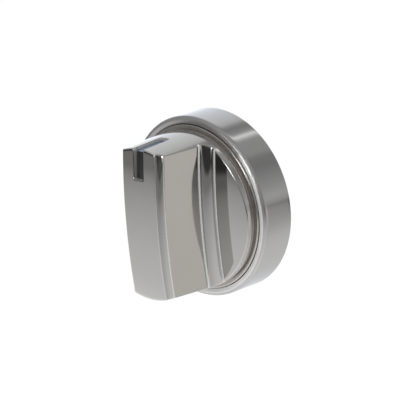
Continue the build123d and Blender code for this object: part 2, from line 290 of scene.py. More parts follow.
def rounded_outline(corners, sagittas, roundings, counts, corner_steps):
    """An outline through corners as a list of pieces, each with its points and unit tangents.

    Each corner is cut back by its rounding times the tangent of half its turn, and closed by a cubic curve
    that keeps both tangents. Its handles are 4/3 tan(turn/4) of the rounding, as for a circle's arc.
    """
    spans = list(zip(corners[:-1], corners[1:], sagittas))
    turns, cuts = [0.0], [0.0]
    for before, after, rounding in zip(spans[:-1], spans[1:], roundings):
        one, two = arc(*before, [1.0])[1][0], arc(*after, [0.0])[1][0]
        turn = np.arccos(np.clip(one @ two, -1, 1))
        turns.append(turn)
        cuts.append(rounding * np.tan(turn / 2))
    cuts.append(0.0)
    pieces = []
    for n, (span, count) in enumerate(zip(spans, counts)):
        chord = np.hypot(*(np.array(span[1]) - np.array(span[0])))
        t = np.linspace(cuts[n] / chord, 1 - cuts[n + 1] / chord, count)
        points, tangents = arc(*span, t)
        if pieces:
            (a, ta), (b, tb) = (pieces[-1][0][-1], pieces[-1][1][-1]), (points[0], tangents[0])
            reach = roundings[n - 1] * 4 / 3 * np.tan(turns[n] / 4)
            u = np.linspace(0, 1, corner_steps + 1)[1:-1, None]
            c, d = a + ta * reach, b - tb * reach
            curve = (1 - u) ** 3 * a + 3 * (1 - u) ** 2 * u * c + 3 * (1 - u) * u**2 * d + u**3 * b
            slope = (1 - u) ** 2 * (c - a) + 2 * (1 - u) * u * (d - c) + u**2 * (b - d)
            pieces.append((curve, slope / np.linalg.norm(slope, axis=1, keepdims=True)))
        pieces.append((points, tangents))
    return pieces


def joined(pieces):
    """The points and tangents of an outline's pieces, one after another."""
    return np.concatenate([p for p, _ in pieces]), np.concatenate([t for _, t in pieces])


class GripForm:
    """The grip's analytic form. Its section is turned about the crown's axis and cut by a cone."""

    def __init__(self, g, s):
        self.g, self.s = g, s
        self.axis_depth = g.crown_radius - g.height
        self.end_slope = tan(g.end_draft)
        self.low_points = self.lower_outline()

    def cone(self, height):
        """The round end's radius: it grows from end_radius by the draft's tangent as the height falls."""
        return self.g.end_radius + (self.g.height - height) * self.end_slope

    def crowned(self, height, z):
        """The height at z of a line that has this height in the middle: a circle about the crown's axis."""
        return np.sqrt((self.axis_depth + height) ** 2 - z**2) - self.axis_depth

    def rim_ball(self, x, h, nx, nh):
        """The centre of the rim's ball for each section point: (x, height, z).

        The ball touches the section and the cone from inside. Its centre is the section's point moved in by
        the ball's radius and turned about the crown's axis until it meets the cone moved in by that radius.
        """
        r = self.g.rim_edge
        xc, hc = x - r * nx, h - r * nh
        height = hc
        for _ in range(ROUNDS):
            inner = self.cone(height) - r / cos(self.g.end_draft)
            z = np.sqrt(np.maximum(inner**2 - xc**2, 0))
            height = self.crowned(hc, z)
        return xc, height, z

    def corners(self):
        """The half section's corners (x, height): middle, face, cove, wall's foot, groove's foot, floor."""
        g = self.g
        cove_x, cove_height = g.face_half_width + g.cove_width, g.height - g.cove_depth
        foot_height = g.floor_height + g.groove_depth
        foot_x = cove_x + (cove_height - foot_height) * tan(g.wall_draft)
        return (
            (0.0, g.height),
            (g.face_half_width, g.height),
            (cove_x, cove_height),
            (foot_x, foot_height),
            (foot_x + g.groove_width, g.floor_height),
            (g.bead_radius + FLOOR_OVERRUN, g.floor_height - g.floor_drop),
        )

    def section(self):
        """The bar's section from rim to rim: points (x, height) and normals.

        Half of it is worked out, from the middle over face, cove, wall and groove to the domed floor, which
        ends where the rim's ball touches the cone. The other half mirrors it.
        """
        g = self.g
        pieces = rounded_outline(
            self.corners(),
            [0, -g.cove_sagitta, 0, -g.groove_sagitta, g.floor_sagitta],
            [g.face_edge, g.face_edge, g.groove_edge, g.groove_edge],
            [FACE_STEPS, COVE_STEPS, WALL_STEPS, GROOVE_STEPS, FLOOR_SAMPLES],
            EDGE_STEPS,
        )
        floor, tangent = pieces.pop()
        ends = np.cumsum([len(points) for points, _ in pieces])
        self.wall_foot, self.groove_end = ends[4] - 1, ends[6] - 1
        ball_x = floor[:, 0] + g.rim_edge * tangent[:, 1]
        ball_height = floor[:, 1] - g.rim_edge * tangent[:, 0]
        to_cone = ball_x - self.cone(ball_height) + g.rim_edge / cos(g.end_draft)
        last = np.interp(0, to_cone, floor[:, 0])
        share = np.sin(np.linspace(0, np.pi / 2, FLOOR_STEPS))
        x = floor[0, 0] + (last - floor[0, 0]) * share
        columns = np.stack([x, np.interp(x, floor[:, 0], floor[:, 1])], 1)
        slopes = np.stack([np.interp(x, floor[:, 0], tangent[:, k]) for k in (0, 1)], 1)
        slopes /= np.linalg.norm(slopes, axis=1, keepdims=True)
        points, tangents = joined(pieces + [(columns, slopes)])
        normals = np.stack([-tangents[:, 1], tangents[:, 0]], 1)
        mirror = np.array([-1, 1])
        return [np.concatenate([half[:0:-1] * mirror, half]) for half in (points, normals)]

    def lower_outline(self):
        """Radii and heights from the cone's foot over the neck and the bead to the shell's inside."""
        g = self.g
        top, rise, bead = g.neck_high + FOOT_RISE, INNER_RISE, g.bead_radius + g.bead_fullness
        inner = self.cone(g.seat_height) - g.wall
        corners = [
            (self.cone(top), top),
            (self.cone(g.neck_high), g.neck_high),
            (g.neck_radius, g.neck_high),
            (g.neck_radius, g.neck_low),
            (bead, g.neck_low),
            (bead, g.seat_height),
            (inner, g.seat_height),
            (inner - rise * self.end_slope, g.seat_height + rise),
        ]
        edges = [g.neck_edge] * 4 + [g.neck_edge / 2] * 2
        spans = len(corners) - 1
        return joined(rounded_outline(corners, [0] * spans, edges, [2] * spans, NECK_EDGE_STEPS))[0]

    def inner_height(self, x):
        """The cavity's ceiling at x: flat behind the face, down along the wall, low under the floor."""
        g = self.g
        wall_x = g.face_half_width + g.cove_width
        corners = [
            (wall_x - g.wall, g.height - g.wall),
            (wall_x - CEILING_IN * g.wall, g.floor_height + g.groove_depth),
            (wall_x + CEILING_OUT * g.wall, g.floor_height - g.wall),
            (g.bead_radius, g.floor_height - g.floor_drop - g.wall),
        ]
        return np.interp(np.abs(x), *zip(*corners))

    def slot_frame(self, region, x, s):
        """The skin and its normal near the slot, at x and a place s along the bar.

        In region 0 s is z on the front face, in region 1 the share of the rim's rounding, and in region 2
        the height on the round end.
        """
        g = self.g
        z = np.where(region == 0, s, 0)
        face_height = self.crowned(g.height, z)
        turn = np.arcsin(z / g.crown_radius)
        face = np.stack([x, -face_height, z], -1)
        face_n = np.stack([0 * x, -np.cos(turn), np.sin(turn)], -1)
        centre, start, end = self.rim_normals(x, g.height + 0 * x, 0 * x, 1 + 0 * x)
        rim_n = turned_between(start, end, np.where(region == 1, s, 0)[:, None])
        rim = centre + g.rim_edge * rim_n
        h = np.where(region == 2, s, g.height)
        back_z = np.sqrt(self.cone(h) ** 2 - x**2)
        back = np.stack([x, -h, back_z], -1)
        lean = cos(g.end_draft) / self.cone(h)
        back_n = np.stack([x * lean, 0 * x - sin(g.end_draft), back_z * lean], -1)
        which = region[:, None]
        point = np.where(which == 0, face, np.where(which == 1, rim, back))
        return point, np.where(which == 0, face_n, np.where(which == 1, rim_n, back_n))

    def rim_normals(self, x, h, nx, nh):
        """The rim ball's centre, and the normals where it touches the section and the cone."""
        xc, height, z = self.rim_ball(x, h, nx, nh)
        turn = np.arcsin(z / (self.axis_depth + h - self.g.rim_edge * nh))
        centre = np.stack([xc, -height, z], -1)
        on_section = np.stack([nx, -nh * np.cos(turn), nh * np.sin(turn)], -1)
        around = np.hypot(xc, z)
        lean = cos(self.g.end_draft)
        on_cone = np.stack([lean * xc / around, 0 * xc - sin(self.g.end_draft), lean * z / around], -1)
        return centre, on_section, on_cone


def turned_between(a, b, u):
    """Unit vectors turned evenly from a to b by the share u, along the great circle through both."""
    whole = np.arccos(np.clip((a * b).sum(-1, keepdims=True), -1, 1))
    return (np.sin((1 - u) * whole) * a + np.sin(u * whole) * b) / np.sin(whole)


def grip_rows(form):
    """The skin, outside and inside, as rows of points over the section's columns, closed round the bar.

    Main rows turn each section point about the crown's axis, from one rim to the other. Then come the rim's
    rounding, the cone as straight lines, the neck and bead as turned outlines, the inside of the round end
    and the ceiling, and back up the other side. Also gives the section, how many main and rounding rows
    there are, and the heights of the cone's rows.
    """
    g = form.g
    section, normal = form.section()
    x, h = section.T
    nx, nh = normal.T
    centre, start, end = form.rim_normals(x, h, nx, nh)
    reach = form.axis_depth + h
    rim_turn = np.arcsin(centre[:, 2] / (reach - g.rim_edge * nh))
    turn = np.linspace(-1, 1, BAR_ROWS)[:, None] * rim_turn
    bar = np.stack([x + 0 * turn, form.axis_depth - reach * np.cos(turn), reach * np.sin(turn)], -1)
    shares = np.linspace(0, 1, RIM_ROWS)[1:]
    rounding = [centre + g.rim_edge * turned_between(start, end, u) for u in shares]
    around = np.arctan2(centre[:, 2], centre[:, 0])
    top, foot = -rounding[-1][:, 1], form.low_points[0, 1]
    foot_around = slanted(form, section, around, form.cone(foot))
    shares = np.linspace(0, 1, END_ROWS)[1:-1]
    heights = [top + (foot - top) * u for u in shares]
    low = [(form.cone(k), k, around + (foot_around - around) * u) for k, u in zip(heights, shares)]
    low += [(r, 0 * x + k, foot_around) for r, k in form.low_points]
    inner_x, inner_top, inner_z = inner_rim(form, foot_around)
    inside = [inner_top * u + (1 - u) * form.low_points[-1, 1] for u in WALL_ROWS]
    low += [(form.cone(k) - g.wall, k, foot_around) for k in inside]
    side = [np.stack([r * np.cos(a), -k, r * np.sin(a)], -1) for r, k, a in low]
    ceiling = np.linspace(1, -1, CEILING_ROWS)[:, None]
    inner_h = form.crowned(form.inner_height(inner_x), ceiling * inner_z)
    inner = np.stack([inner_x + 0 * ceiling, -inner_h, ceiling * inner_z], -1)
    flip = np.array([1, 1, -1])
    upper = np.array(rounding + side)
    rows = np.concatenate([bar, upper, inner, upper[::-1] * flip])
    return rows, section, len(bar), len(rounding), heights


def slanted(form, section, around, foot_radius):
    """The angle round the axis at the foot of each column of the round end.

    The groove is undercut, so a column straight down from the wall would close its mouth. The columns lean
    towards the middle instead. Their feet are spread evenly along the section's length between the slot's
    side, the wall's foot and the groove's end, each moved in by its lean, and from there the angle falls to
    the tip's.
    """
    middle = len(section) // 2
    half = section[middle:]
    walk = np.concatenate([[0], np.cumsum(np.hypot(*np.diff(half, axis=0).T))])
    slot_side = int(np.argmax(half[:, 0] > form.s.half_width + form.s.margin))
    marks = [0, slot_side, form.wall_foot, form.groove_end]
    feet = half[marks, 0] * np.array([1, 1, WALL_LEAN, GROOVE_LEAN])
    bar = np.arccos(np.interp(walk, walk[marks], feet) / foot_radius)
    floor = around[middle:] * bar[form.groove_end] / around[middle + form.groove_end]
    right = np.where(walk > walk[form.groove_end], floor, bar)
    return np.concatenate([np.pi - right[:0:-1], right])


def inner_rim(form, around):
    """Where the cavity's ceiling meets the inside of the round end, at the outside's angles."""
    height = form.inner_height(0 * around)
    for _ in range(ROUNDS):
        radius = form.cone(height) - form.g.wall
        x, z = radius * np.cos(around), radius * np.sin(around)
        height = form.crowned(form.inner_height(x), z)
    return x, height, z


def rounded_end(half_width, low, high, corner, share):
    """A slot's end as a U: down one side from high, round both corners at low and up the other side.

    Gives the points and outward normals at the shares of the U's length.
    """
    side, across, quarter = high - low - corner, 2 * (half_width - corner), np.pi / 2 * corner
    walk = share * (2 * side + across + 2 * quarter)
    half = side + quarter + across / 2
    near = half - np.abs(walk - half)
    a = np.clip((near - side) / corner, 0, np.pi / 2)
    x = half_width - corner + corner * np.cos(a) - np.maximum(near - side - quarter, 0)
    s = low + corner - corner * np.sin(a) + np.maximum(side - near, 0)
    sign = np.sign(walk - half)
    return sign * x, s, sign * np.cos(a), -np.sin(a)


def slot_patch(form, rows, section, main_count, rounding_count, cone_heights):
    """The skin round the slot, the slot's rounded rim, its walls and its floor, as a closed strip of rows.

    It replaces a window in the skin. Spokes run from the window's own points, over the skin, to the slot's
    outline, turn down over the rim's quarter circle and follow the wall to the floor, which is a ladder.
    """
    s = form.s
    columns = np.flatnonzero(np.abs(section[:, 0]) <= s.half_width + s.margin)
    left, right = columns[0], columns[-1]
    middle = (left + right) // 2
    first = int(np.searchsorted(rows[:main_count, middle, 2], s.face_low - s.margin))
    below = [k for k, height in enumerate(cone_heights) if height[middle] < s.end_low - s.margin / 2]
    last = main_count + rounding_count + below[0]
    across = np.arange(left, right + 1)
    along = np.arange(first + 1, last)
    loop = [(first, j) for j in across] + [(k, right) for k in along]
    loop += [(last, j) for j in across[::-1]] + [(k, left) for k in along[::-1]]
    k, j = np.array(loop).T
    outer = rows[k, j]
    region = np.where(k < main_count, 0, np.where(k < main_count + rounding_count - 1, 1, 2))
    share = (k - main_count + 1) / rounding_count
    place = np.where(region == 0, outer[:, 2], np.where(region == 1, share, -outer[:, 1]))
    x = outer[:, 0]

    out_x, out_s = np.sign(x) * s.half_width, place.copy()
    way_x, way_s = np.sign(x), 0 * x
    straight_low, straight_back = s.face_low + 2 * s.corner, s.end_low + 2 * s.corner
    for which, low, high in ((0, s.face_low, straight_low), (2, s.end_low, straight_back)):
        part = np.flatnonzero((region == which) & (place < high))
        if which == 0:
            part = part[np.argsort((part + len(along) + 1) % len(k))]
        path = np.stack([x[part], place[part]], 1)
        walk = np.concatenate([[0], np.cumsum(np.hypot(*np.diff(path, axis=0).T))])
        top = (place[part[0]] + place[part[-1]]) / 2
        px, ps, qx, qs = rounded_end(s.half_width, low, top, s.corner, walk / walk[-1])
        turn = 1 if which == 0 else -1
        out_x[part], out_s[part], way_x[part], way_s[part] = turn * px, ps, turn * qx, qs

    strip = [outer]
    for f in SKIN_ROWS:
        lip_x, lip_s = out_x + way_x * s.lip, out_s + way_s * s.lip
        strip.append(form.slot_frame(region, x + (lip_x - x) * f, place + (lip_s - place) * f)[0])
    for a in np.radians(LIP_TURNS):
        out = s.lip * (1 - sin(a))
        point, normal = form.slot_frame(region, out_x + way_x * out, out_s + way_s * out)
        strip.append(point - normal * s.lip * (1 - cos(a)))
    bed = slot_bed(form, region, out_x, out_s, straight_low, straight_back)
    strip += [strip[-1] + (bed - strip[-1]) * f for f in (*WALL_ROWS, 1.0)]
    return np.array(strip), (first, last, left, right)


def slot_bed(form, region, x, place, straight_low, straight_back):
    """The slot's floor under each outline point: the face's and the round end's surfaces at the depth.

    The two meet in an inner corner, so the places along each leg are drawn in evenly to end there.
    """
    g, depth = form.g, form.s.depth
    corner_h = g.height - depth + 0 * x
    for _ in range(ROUNDS):
        corner_z = np.sqrt((form.cone(corner_h) - depth) ** 2 - x**2)
        corner_h = form.crowned(g.height - depth, corner_z)
    _, edge_h, edge_z = form.rim_ball(x, g.height, 0, 1)
    z = np.where(region == 0, place, corner_z)
    drawn = straight_low + (z - straight_low) * (corner_z - straight_low) / (edge_z - straight_low)
    z = np.where((region == 0) & (z > straight_low), drawn, z)
    face = np.stack([x, -form.crowned(g.height - depth, z), z], -1)
    h = np.where(region == 2, place, corner_h)
    drawn = straight_back + (h - straight_back) * (corner_h - straight_back) / (edge_h - straight_back)
    h = np.where((region == 2) & (h > straight_back), drawn, h)
    end = np.stack([x, -h, np.sqrt((form.cone(h) - depth) ** 2 - x**2)], -1)
    corner = np.stack([x, -corner_h, corner_z], -1)
    which = region[:, None]
    return np.where(which == 0, face, np.where(which == 1, corner, end))


def grid_faces(count_down, count_across, down_closed=False, across_closed=False, start=0):
    """The four-sided faces of a grid of points kept row by row, as an array of point numbers."""
    k = np.arange(count_down if down_closed else count_down - 1)[:, None]
    j = np.arange(count_across if across_closed else count_across - 1)[None]
    k2, j2 = (k + 1) % count_down, (j + 1) % count_across
    corners = [k * count_across + j, k * count_across + j2, k2 * count_across + j2, k2 * count_across + j]
    return start + np.stack([c.ravel() for c in corners], -1)


def new_piece(name, points, faces, node, material):
    """A smooth closed mesh piece that stands for a node, which it hides: it rides on the body and takes the
    given material.
    """
    mesh = bpy.data.meshes.new(name)
    mesh.from_pydata(points.tolist(), [], faces)
    shape = bmesh.new()
    shape.from_mesh(mesh)
    bmesh.ops.remove_doubles(shape, verts=shape.verts, dist=MERGE)
    bmesh.ops.dissolve_degenerate(shape, edges=shape.edges, dist=MERGE)
    bmesh.ops.recalc_face_normals(shape, faces=shape.faces)
    shape.to_mesh(mesh)
    shape.free()
    mesh.shade_smooth()
    mesh.materials.append(material)
    piece = bpy.data.objects.new(name, mesh)
    bpy.context.scene.collection.objects.link(piece)
    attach(piece, "root")
    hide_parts(node)
    return piece


def shade_round_end(mesh, form):
    """Gives each point of the round end the cone's own normal, so that its long faces shade evenly.

    The normal of a cone points straight away from the axis, leant forward by the draft.
    """
    points, normals = np.empty((2, len(mesh.vertices) * 3))
    mesh.vertices.foreach_get("co", points)
    mesh.vertex_normals.foreach_get("vector", normals)
    points, normals = points.reshape(-1, 3), normals.reshape(-1, 3)
    x, y, z = points.T
    radius, draft = np.hypot(x, z), form.g.end_draft
    own = np.stack([cos(draft) * x / radius, 0 * y - sin(draft), cos(draft) * z / radius], -1)
    on_cone = (np.abs(radius - form.cone(-y)) < MERGE) & (-y > form.low_points[0, 1] - MERGE)
    normals[on_cone] = own[on_cone]
    mesh.normals_split_custom_set_from_vertices(normals.tolist())


def put(tree, kind, sockets=None, **settings):
    """A new shader node. Each named socket is linked to another node's output or given a plain value."""
    new = tree.nodes.new(kind)
    for key, value in settings.items():
        setattr(new, key, value)
    for key, value in (sockets or {}).items():
        if isinstance(value, bpy.types.NodeSocket):
            tree.links.new(value, new.inputs[key])
        else:
            new.inputs[key].default_value = value
    return new


def sums(tree, operation, a, b=0.0, c=0.0):
    """The output of one arithmetic node."""
    return put(tree, "ShaderNodeMath", {0: a, 1: b, 2: c}, operation=operation).outputs[0]


def product(tree, first, *others):
    """The product of several values."""
    for other in others:
        first = sums(tree, "MULTIPLY", first, other)
    return first


def highest(tree, first, *others):
    """The highest of several values."""
    for other in others:
        first = sums(tree, "MAXIMUM", first, other)
    return first


def hypotenuse(tree, a, b):
    """The root of a squared plus b squared."""
    return sums(tree, "SQRT", sums(tree, "ADD", product(tree, a, a), product(tree, b, b)))


def part_along(tree, vector, axis):
    """How far a vector points along an axis."""
    sockets = {0: vector, 1: tuple(axis)}
    return put(tree, "ShaderNodeVectorMath", sockets, operation="DOT_PRODUCT").outputs[1]


def eased(tree, value, low, high, at_low=0.0, at_high=1.0):
    """A smooth step from at_low to at_high as the value goes from low to high."""
    sockets = {0: value, 1: low, 2: high, 3: at_low, 4: at_high}
    return put(tree, "ShaderNodeMapRange", sockets, interpolation_type="SMOOTHSTEP").outputs[0]


def sunk(tree, value, surface, start, full):
    """A smooth step from 0 to 1 as the value sinks from start to full below a surface."""
    return eased(tree, value, surface - full, surface - start, 1.0, 0.0)


def mixed(tree, share, a, b):
    """A colour that goes from a to b with the share."""
    a, b = [end if isinstance(end, bpy.types.NodeSocket) else (*end, 1) for end in (a, b)]
    return put(tree, "ShaderNodeMix", {0: share, 6: a, 7: b}, data_type="RGBA").outputs[2]


def between(tree, share, a, b):
    """A number that goes from a to b with the share."""
    return put(tree, "ShaderNodeMix", {0: share, 2: a, 3: b}, data_type="FLOAT").outputs[0]


def noise(tree, place, scale, detail=2.0, grit=0.5):
    """Smooth noise over a place, 0.5 on average."""
    sockets = {"Vector": place, "Scale": scale, "Detail": detail, "Roughness": grit}
    return put(tree, "ShaderNodeTexNoise", sockets).outputs["Fac"]


def varied(tree, grain, low, high):
    """A value that goes from low to high with the noise, over the range that it mostly takes."""
    return eased(tree, grain, *NOISE_RANGE, low, high)


def object_place(tree):
    """The piece's own coordinates."""
    return put(tree, "ShaderNodeTexCoord").outputs["Object"]


def stretched(tree, scale):
    """The piece's own coordinates, with each axis scaled by its own number."""
    return put(tree, "ShaderNodeMapping", {"Vector": object_place(tree), "Scale": scale}).outputs[0]


def bump(tree, shader, height, depth, strength=1.0):
    """Raises the surface by the height times depth, a length in metres."""
    normal = put(tree, "ShaderNodeBump", {"Height": height, "Distance": depth, "Strength": strength})
    tree.links.new(normal.outputs[0], shader.inputs["Normal"])


def finish_material(name, base, metallic, roughness):
    """A new material with its node tree and its surface shader, which has plain values on its sockets."""
    material = bpy.data.materials.new(name)
    material.use_nodes = True
    tree = material.node_tree
    shader = tree.nodes["Principled BSDF"]
    shader.inputs["Base Color"].default_value = (*base, 1)
    shader.inputs["Metallic"].default_value = metallic
    shader.inputs["Roughness"].default_value = roughness
    return material, tree, shader


def tinted(tree, shader, share, dark, light):
    """Mixes the surface colour from dark to light by a share."""
    tree.links.new(mixed(tree, share, dark, light), shader.inputs["Base Color"])


def scaled(base, times):
    """A colour made lighter or darker by a factor."""
    return tuple(min(channel * times, 1.0) for channel in base)


def section_height(tree, form, y, z):
    """A point's height in the bar's middle section, which is turned about the crown's axis to make the bar.

    It is the point's distance from that axis, less the axis's depth behind the back plane.
    """
    away = sums(tree, "SUBTRACT", form.axis_depth, y)
    return sums(tree, "SUBTRACT", hypotenuse(tree, away, z), form.axis_depth)


def from_corner(tree, across, height, corner):
    """The distance of the point (across, height) of a flat section from a corner of it."""
    point = put(tree, "ShaderNodeCombineXYZ", {0: across, 1: height}).outputs[0]
    sockets = {0: point, 1: (*corner, 0.0)}
    return put(tree, "ShaderNodeVectorMath", sockets, operation="DISTANCE").outputs[1]


def ridge_highlight_mask(tree, form, x, height, reduced):
    """How much painted highlight a point takes, from 0 to 1: fully at the bar's ridges and rim, and less
    away from them.

    The ridges are corners of the bar's section, and the rim is the corner between the face and the cone.
    """
    across, mask = sums(tree, "ABSOLUTE", x), 0.0
    for corner, shift, near, far, strength in RIDGES:
        ridge = [part + move * MM for part, move in zip(form.corners()[corner], shift)]
        distance = from_corner(tree, across, height, ridge)
        mask = highest(tree, mask, eased(tree, distance, near * MM, far * MM, strength, 0.0))
    near, far, strength = RIM
    distance = from_corner(tree, reduced, height, (form.g.end_radius, form.g.height))
    return highest(tree, mask, eased(tree, distance, near * MM, far * MM, strength, 0.0))


def neck_shade_mask(tree, g, y, radius):
    """Painted shade under the disc: 1 on the neck under the disc, 0 on the disc and on the bead."""
    low = eased(tree, y, -g.neck_high - NECK_START, -g.neck_high - NECK_FULL)
    return product(tree, low, sunk(tree, radius, g.bead_radius, -BEAD_FADE, BEAD_FADE))


def slot_masks(tree, form, x, y, z, height, reduced):
    """1 on the slot's walls, and on their part over the bar's end and its deep half, which carry painted
    shade.
    """
    g, s = form.g, form.s
    depth = product(
        tree, sunk(tree, height, g.height, *SLOT_WALL), sunk(tree, reduced, g.end_radius, *SLOT_WALL)
    )
    across = sums(tree, "LESS_THAN", sums(tree, "ABSOLUTE", x), s.half_width + SLOT_BESIDE)
    ahead = sums(tree, "LESS_THAN", y, SLOT_PAST - s.end_low)
    wall = product(tree, depth, across, ahead, sums(tree, "GREATER_THAN", z, 0.0))
    # The part over the bar's end takes painted shade, its deep half also a painted bluish reflection
    upper = product(tree, wall, sunk(tree, height, g.height, *SLOT_END))
    return wall, upper, product(tree, upper, sunk(tree, reduced, g.end_radius, *SLOT_DEEP))


def cove_haze(tree, g, x, z, height):
    """A faint haze high in the coves, as a share of the metal: most below the bar's end, and less at it."""
    cove = g.height - g.cove_depth
    beside = [g.face_half_width + reach for reach in HAZE_BESIDE]
    above = [cove + reach for reach in HAZE_ABOVE]
    region = product(
        tree, eased(tree, sums(tree, "ABSOLUTE", x), *beside), eased(tree, height, *above)
    )
    return product(tree, region, eased(tree, z, *HAZE_STARTS), eased(tree, z, *HAZE_ENDS, *HAZE_SHARES))


def plating_material(c, form):
    """Bright nickel-chrome over a polished moulding: a faint haze that varies, and a painted highlight on
    the ridges and rim.

    The neck under the disc has painted shade, and the slot's walls are satin, with painted shade over the
    bar's end and a painted bluish reflection in that part's deep half. What is called reduced is a point's
    distance from the axis less the cone's growth down to it, which is the same all over the cone.
    """
    material, tree, shader = finish_material("grip_plating", c.plating, 1, c.plating_roughness)
    place = object_place(tree)
    x, y, z = put(tree, "ShaderNodeSeparateXYZ", {0: place}).outputs
    radius, height = hypotenuse(tree, x, z), section_height(tree, form, y, z)
    growth = product(tree, sums(tree, "ADD", y, form.g.height), form.end_slope)
    reduced = sums(tree, "SUBTRACT", radius, growth)
    masks = (
        # painted highlight on the ridges and rim
        ridge_highlight_mask(tree, form, x, height, reduced),
        # painted shade under the disc
        neck_shade_mask(tree, form.g, y, radius),
        # satin slot walls, with painted shade over the bar's end and a painted bluish reflection in the
        # deep half
        *slot_masks(tree, form, x, y, z, height, reduced),
    )
    lost = cove_haze(tree, form.g, x, z, height)
    fine, cloud = noise(tree, place, scale=260, detail=4), noise(tree, place, scale=90)
    rough = varied(tree, fine, 0.8 * c.plating_roughness, 1.25 * c.plating_roughness)
    shade = mixed(tree, cloud, scaled(c.plating, 0.98), scaled(c.plating, 1.02))
    for mask, (loss, roughness, tone) in zip(masks, PLATING_PLACES):
        lost = highest(tree, lost, product(tree, mask, loss))
        rough = between(tree, mask, rough, roughness)
        shade = mixed(tree, mask, shade, tone)
    tree.links.new(sums(tree, "SUBTRACT", 1.0, lost), shader.inputs["Metallic"])
    tree.links.new(rough, shader.inputs["Roughness"])
    tree.links.new(shade, shader.inputs["Base Color"])
    return material


def ring_material(c, ring):
    """Stainless sheet: the side finely brushed round the ring, the lip satin, with a painted highlight in
    places.

    A brush line is noise. It is read in fine steps at the point's radius less y, which differs along the
    side and across the lip, and in coarse steps at its direction round the axis, so it runs round the ring.
    The highlight spreads across the lines. The lip's crest has a painted highlight on its right and lower
    side, where x less z, over the radius, is high.
    """
    material, tree, shader = finish_material("ring_steel", c.steel, 1, c.brushed_roughness)
    place = object_place(tree)
    x, y, z = put(tree, "ShaderNodeSeparateXYZ", {0: place}).outputs
    radius = hypotenuse(tree, x, z)
    fine = product(tree, sums(tree, "SUBTRACT", radius, y), c.brush_lines)
    coarse = [sums(tree, "DIVIDE", part, radius) for part in (x, z)]
    vector = put(tree, "ShaderNodeCombineXYZ", {0: coarse[0], 1: fine, 2: coarse[1]}).outputs[0]
    lines = noise(tree, vector, scale=1.0, detail=3, grit=0.65)
    lip = eased(tree, y, *(depth - ring.height for depth in LIP_FADE), 1.0, 0.0)
    rough = varied(tree, lines, 0.8 * c.brushed_roughness, 1.2 * c.brushed_roughness)
    tree.links.new(between(tree, lip, rough, c.lip_roughness), shader.inputs["Roughness"])

    inner, outer = [[ring.mouth_radius + reach for reach in reaches] for reaches in (CREST_IN, CREST_OUT)]
    side = sums(tree, "DIVIDE", sums(tree, "SUBTRACT", x, z), radius)
    crest = product(tree, eased(tree, radius, *inner), eased(tree, radius, *outer, 1.0, 0.0))
    # Painted highlight on the crest's right and lower side
    crest_highlight = product(tree, crest, eased(tree, side, *HIGHLIGHT_SIDE))
    shade = mixed(tree, lines, scaled(c.steel, 0.98), scaled(c.steel, 1.02))
    tinted(tree, shader, crest_highlight, shade, (1.0, 1.0, 1.0))
    tree.links.new(sums(tree, "MULTIPLY_ADD", crest_highlight, -HIGHLIGHT_LOSS, 1.0), shader.inputs["Metallic"])

    sockets = {0: (0.0, 1.0, 0.0), 1: place}
    round_way = put(tree, "ShaderNodeVectorMath", sockets, operation="CROSS_PRODUCT").outputs[0]
    unit = put(tree, "ShaderNodeVectorMath", {0: round_way}, operation="NORMALIZE").outputs[0]
    tree.links.new(unit, shader.inputs["Tangent"])
    shader.inputs["Anisotropic"].default_value = BRUSH_SPREAD
    shader.inputs["Anisotropic Rotation"].default_value = QUARTER_TURN
    bump(tree, shader, lines, 0.001 * MM, strength=0.5)
    return material


def pointer_material(c, g):
    """Gloss black moulding with a faint ripple. Its leg over the bar's end takes a painted blue-grey
    reflection at a low angle.
    """
    material, tree, shader = finish_material("pointer_black", c.black, 0, 0.08)
    place = object_place(tree)
    y = put(tree, "ShaderNodeSeparateXYZ", {0: place}).outputs[1]
    leg = eased(tree, y, *(depth - g.height for depth in LEG_STARTS))
    facing = put(tree, "ShaderNodeLayerWeight", {"Blend": 0.5}).outputs["Facing"]
    # Painted blue-grey reflection on the leg at a low angle
    tinted(tree, shader, product(tree, leg, eased(tree, facing, *LOW_ANGLE)), c.black, LEG_REFLECTION)
    ripple = noise(tree, place, scale=900, detail=3)
    tree.links.new(varied(tree, ripple, 0.06, 0.12), shader.inputs["Roughness"])
    shader.inputs["IOR"].default_value = GLOSS_IOR
    return material


def moulding_material(c):
    """Black glass-filled moulding: matt, with a fine spark-eroded grain and faint flow marks."""
    material, tree, shader = finish_material("hub_plastic", c.moulding, 0, 0.55)
    grain = noise(tree, object_place(tree), scale=4200, detail=3, grit=0.6)
    flow = noise(tree, stretched(tree, (1, 0.4, 1)), scale=120, detail=3)
    tinted(tree, shader, flow, scaled(c.moulding, 0.8), scaled(c.moulding, 1.35))
    tree.links.new(varied(tree, grain, 0.48, 0.68), shader.inputs["Roughness"])
    bump(tree, shader, grain, 0.02 * MM, strength=0.6)
    return material


def zinc_material(name, c, scale):
    """Bright zinc plate: fine cloudy crystals in colour and gloss, drawn out where the scale is low."""
    material, tree, shader = finish_material(name, c.zinc, 1, 0.3)
    cloud = noise(tree, stretched(tree, scale), scale=700, detail=4, grit=0.6)
    tinted(tree, shader, cloud, scaled(c.zinc, 0.86), scaled(c.zinc, 1.08))
    tree.links.new(varied(tree, cloud, 0.22, 0.4), shader.inputs["Roughness"])
    bump(tree, shader, cloud, 0.004 * MM, strength=0.5)
    return material


def spring_material(c):
    """Blued spring steel with drawing lines along the leaf."""
    material, tree, shader = finish_material("spring_steel", c.blued, 1, 0.32)
    lines = noise(tree, stretched(tree, (12, 0.6, 1)), scale=500, detail=3)
    tinted(tree, shader, lines, scaled(c.blued, 0.75), scaled(c.blued, 1.3))
    bump(tree, shader, lines, 0.003 * MM, strength=0.5)
    return material


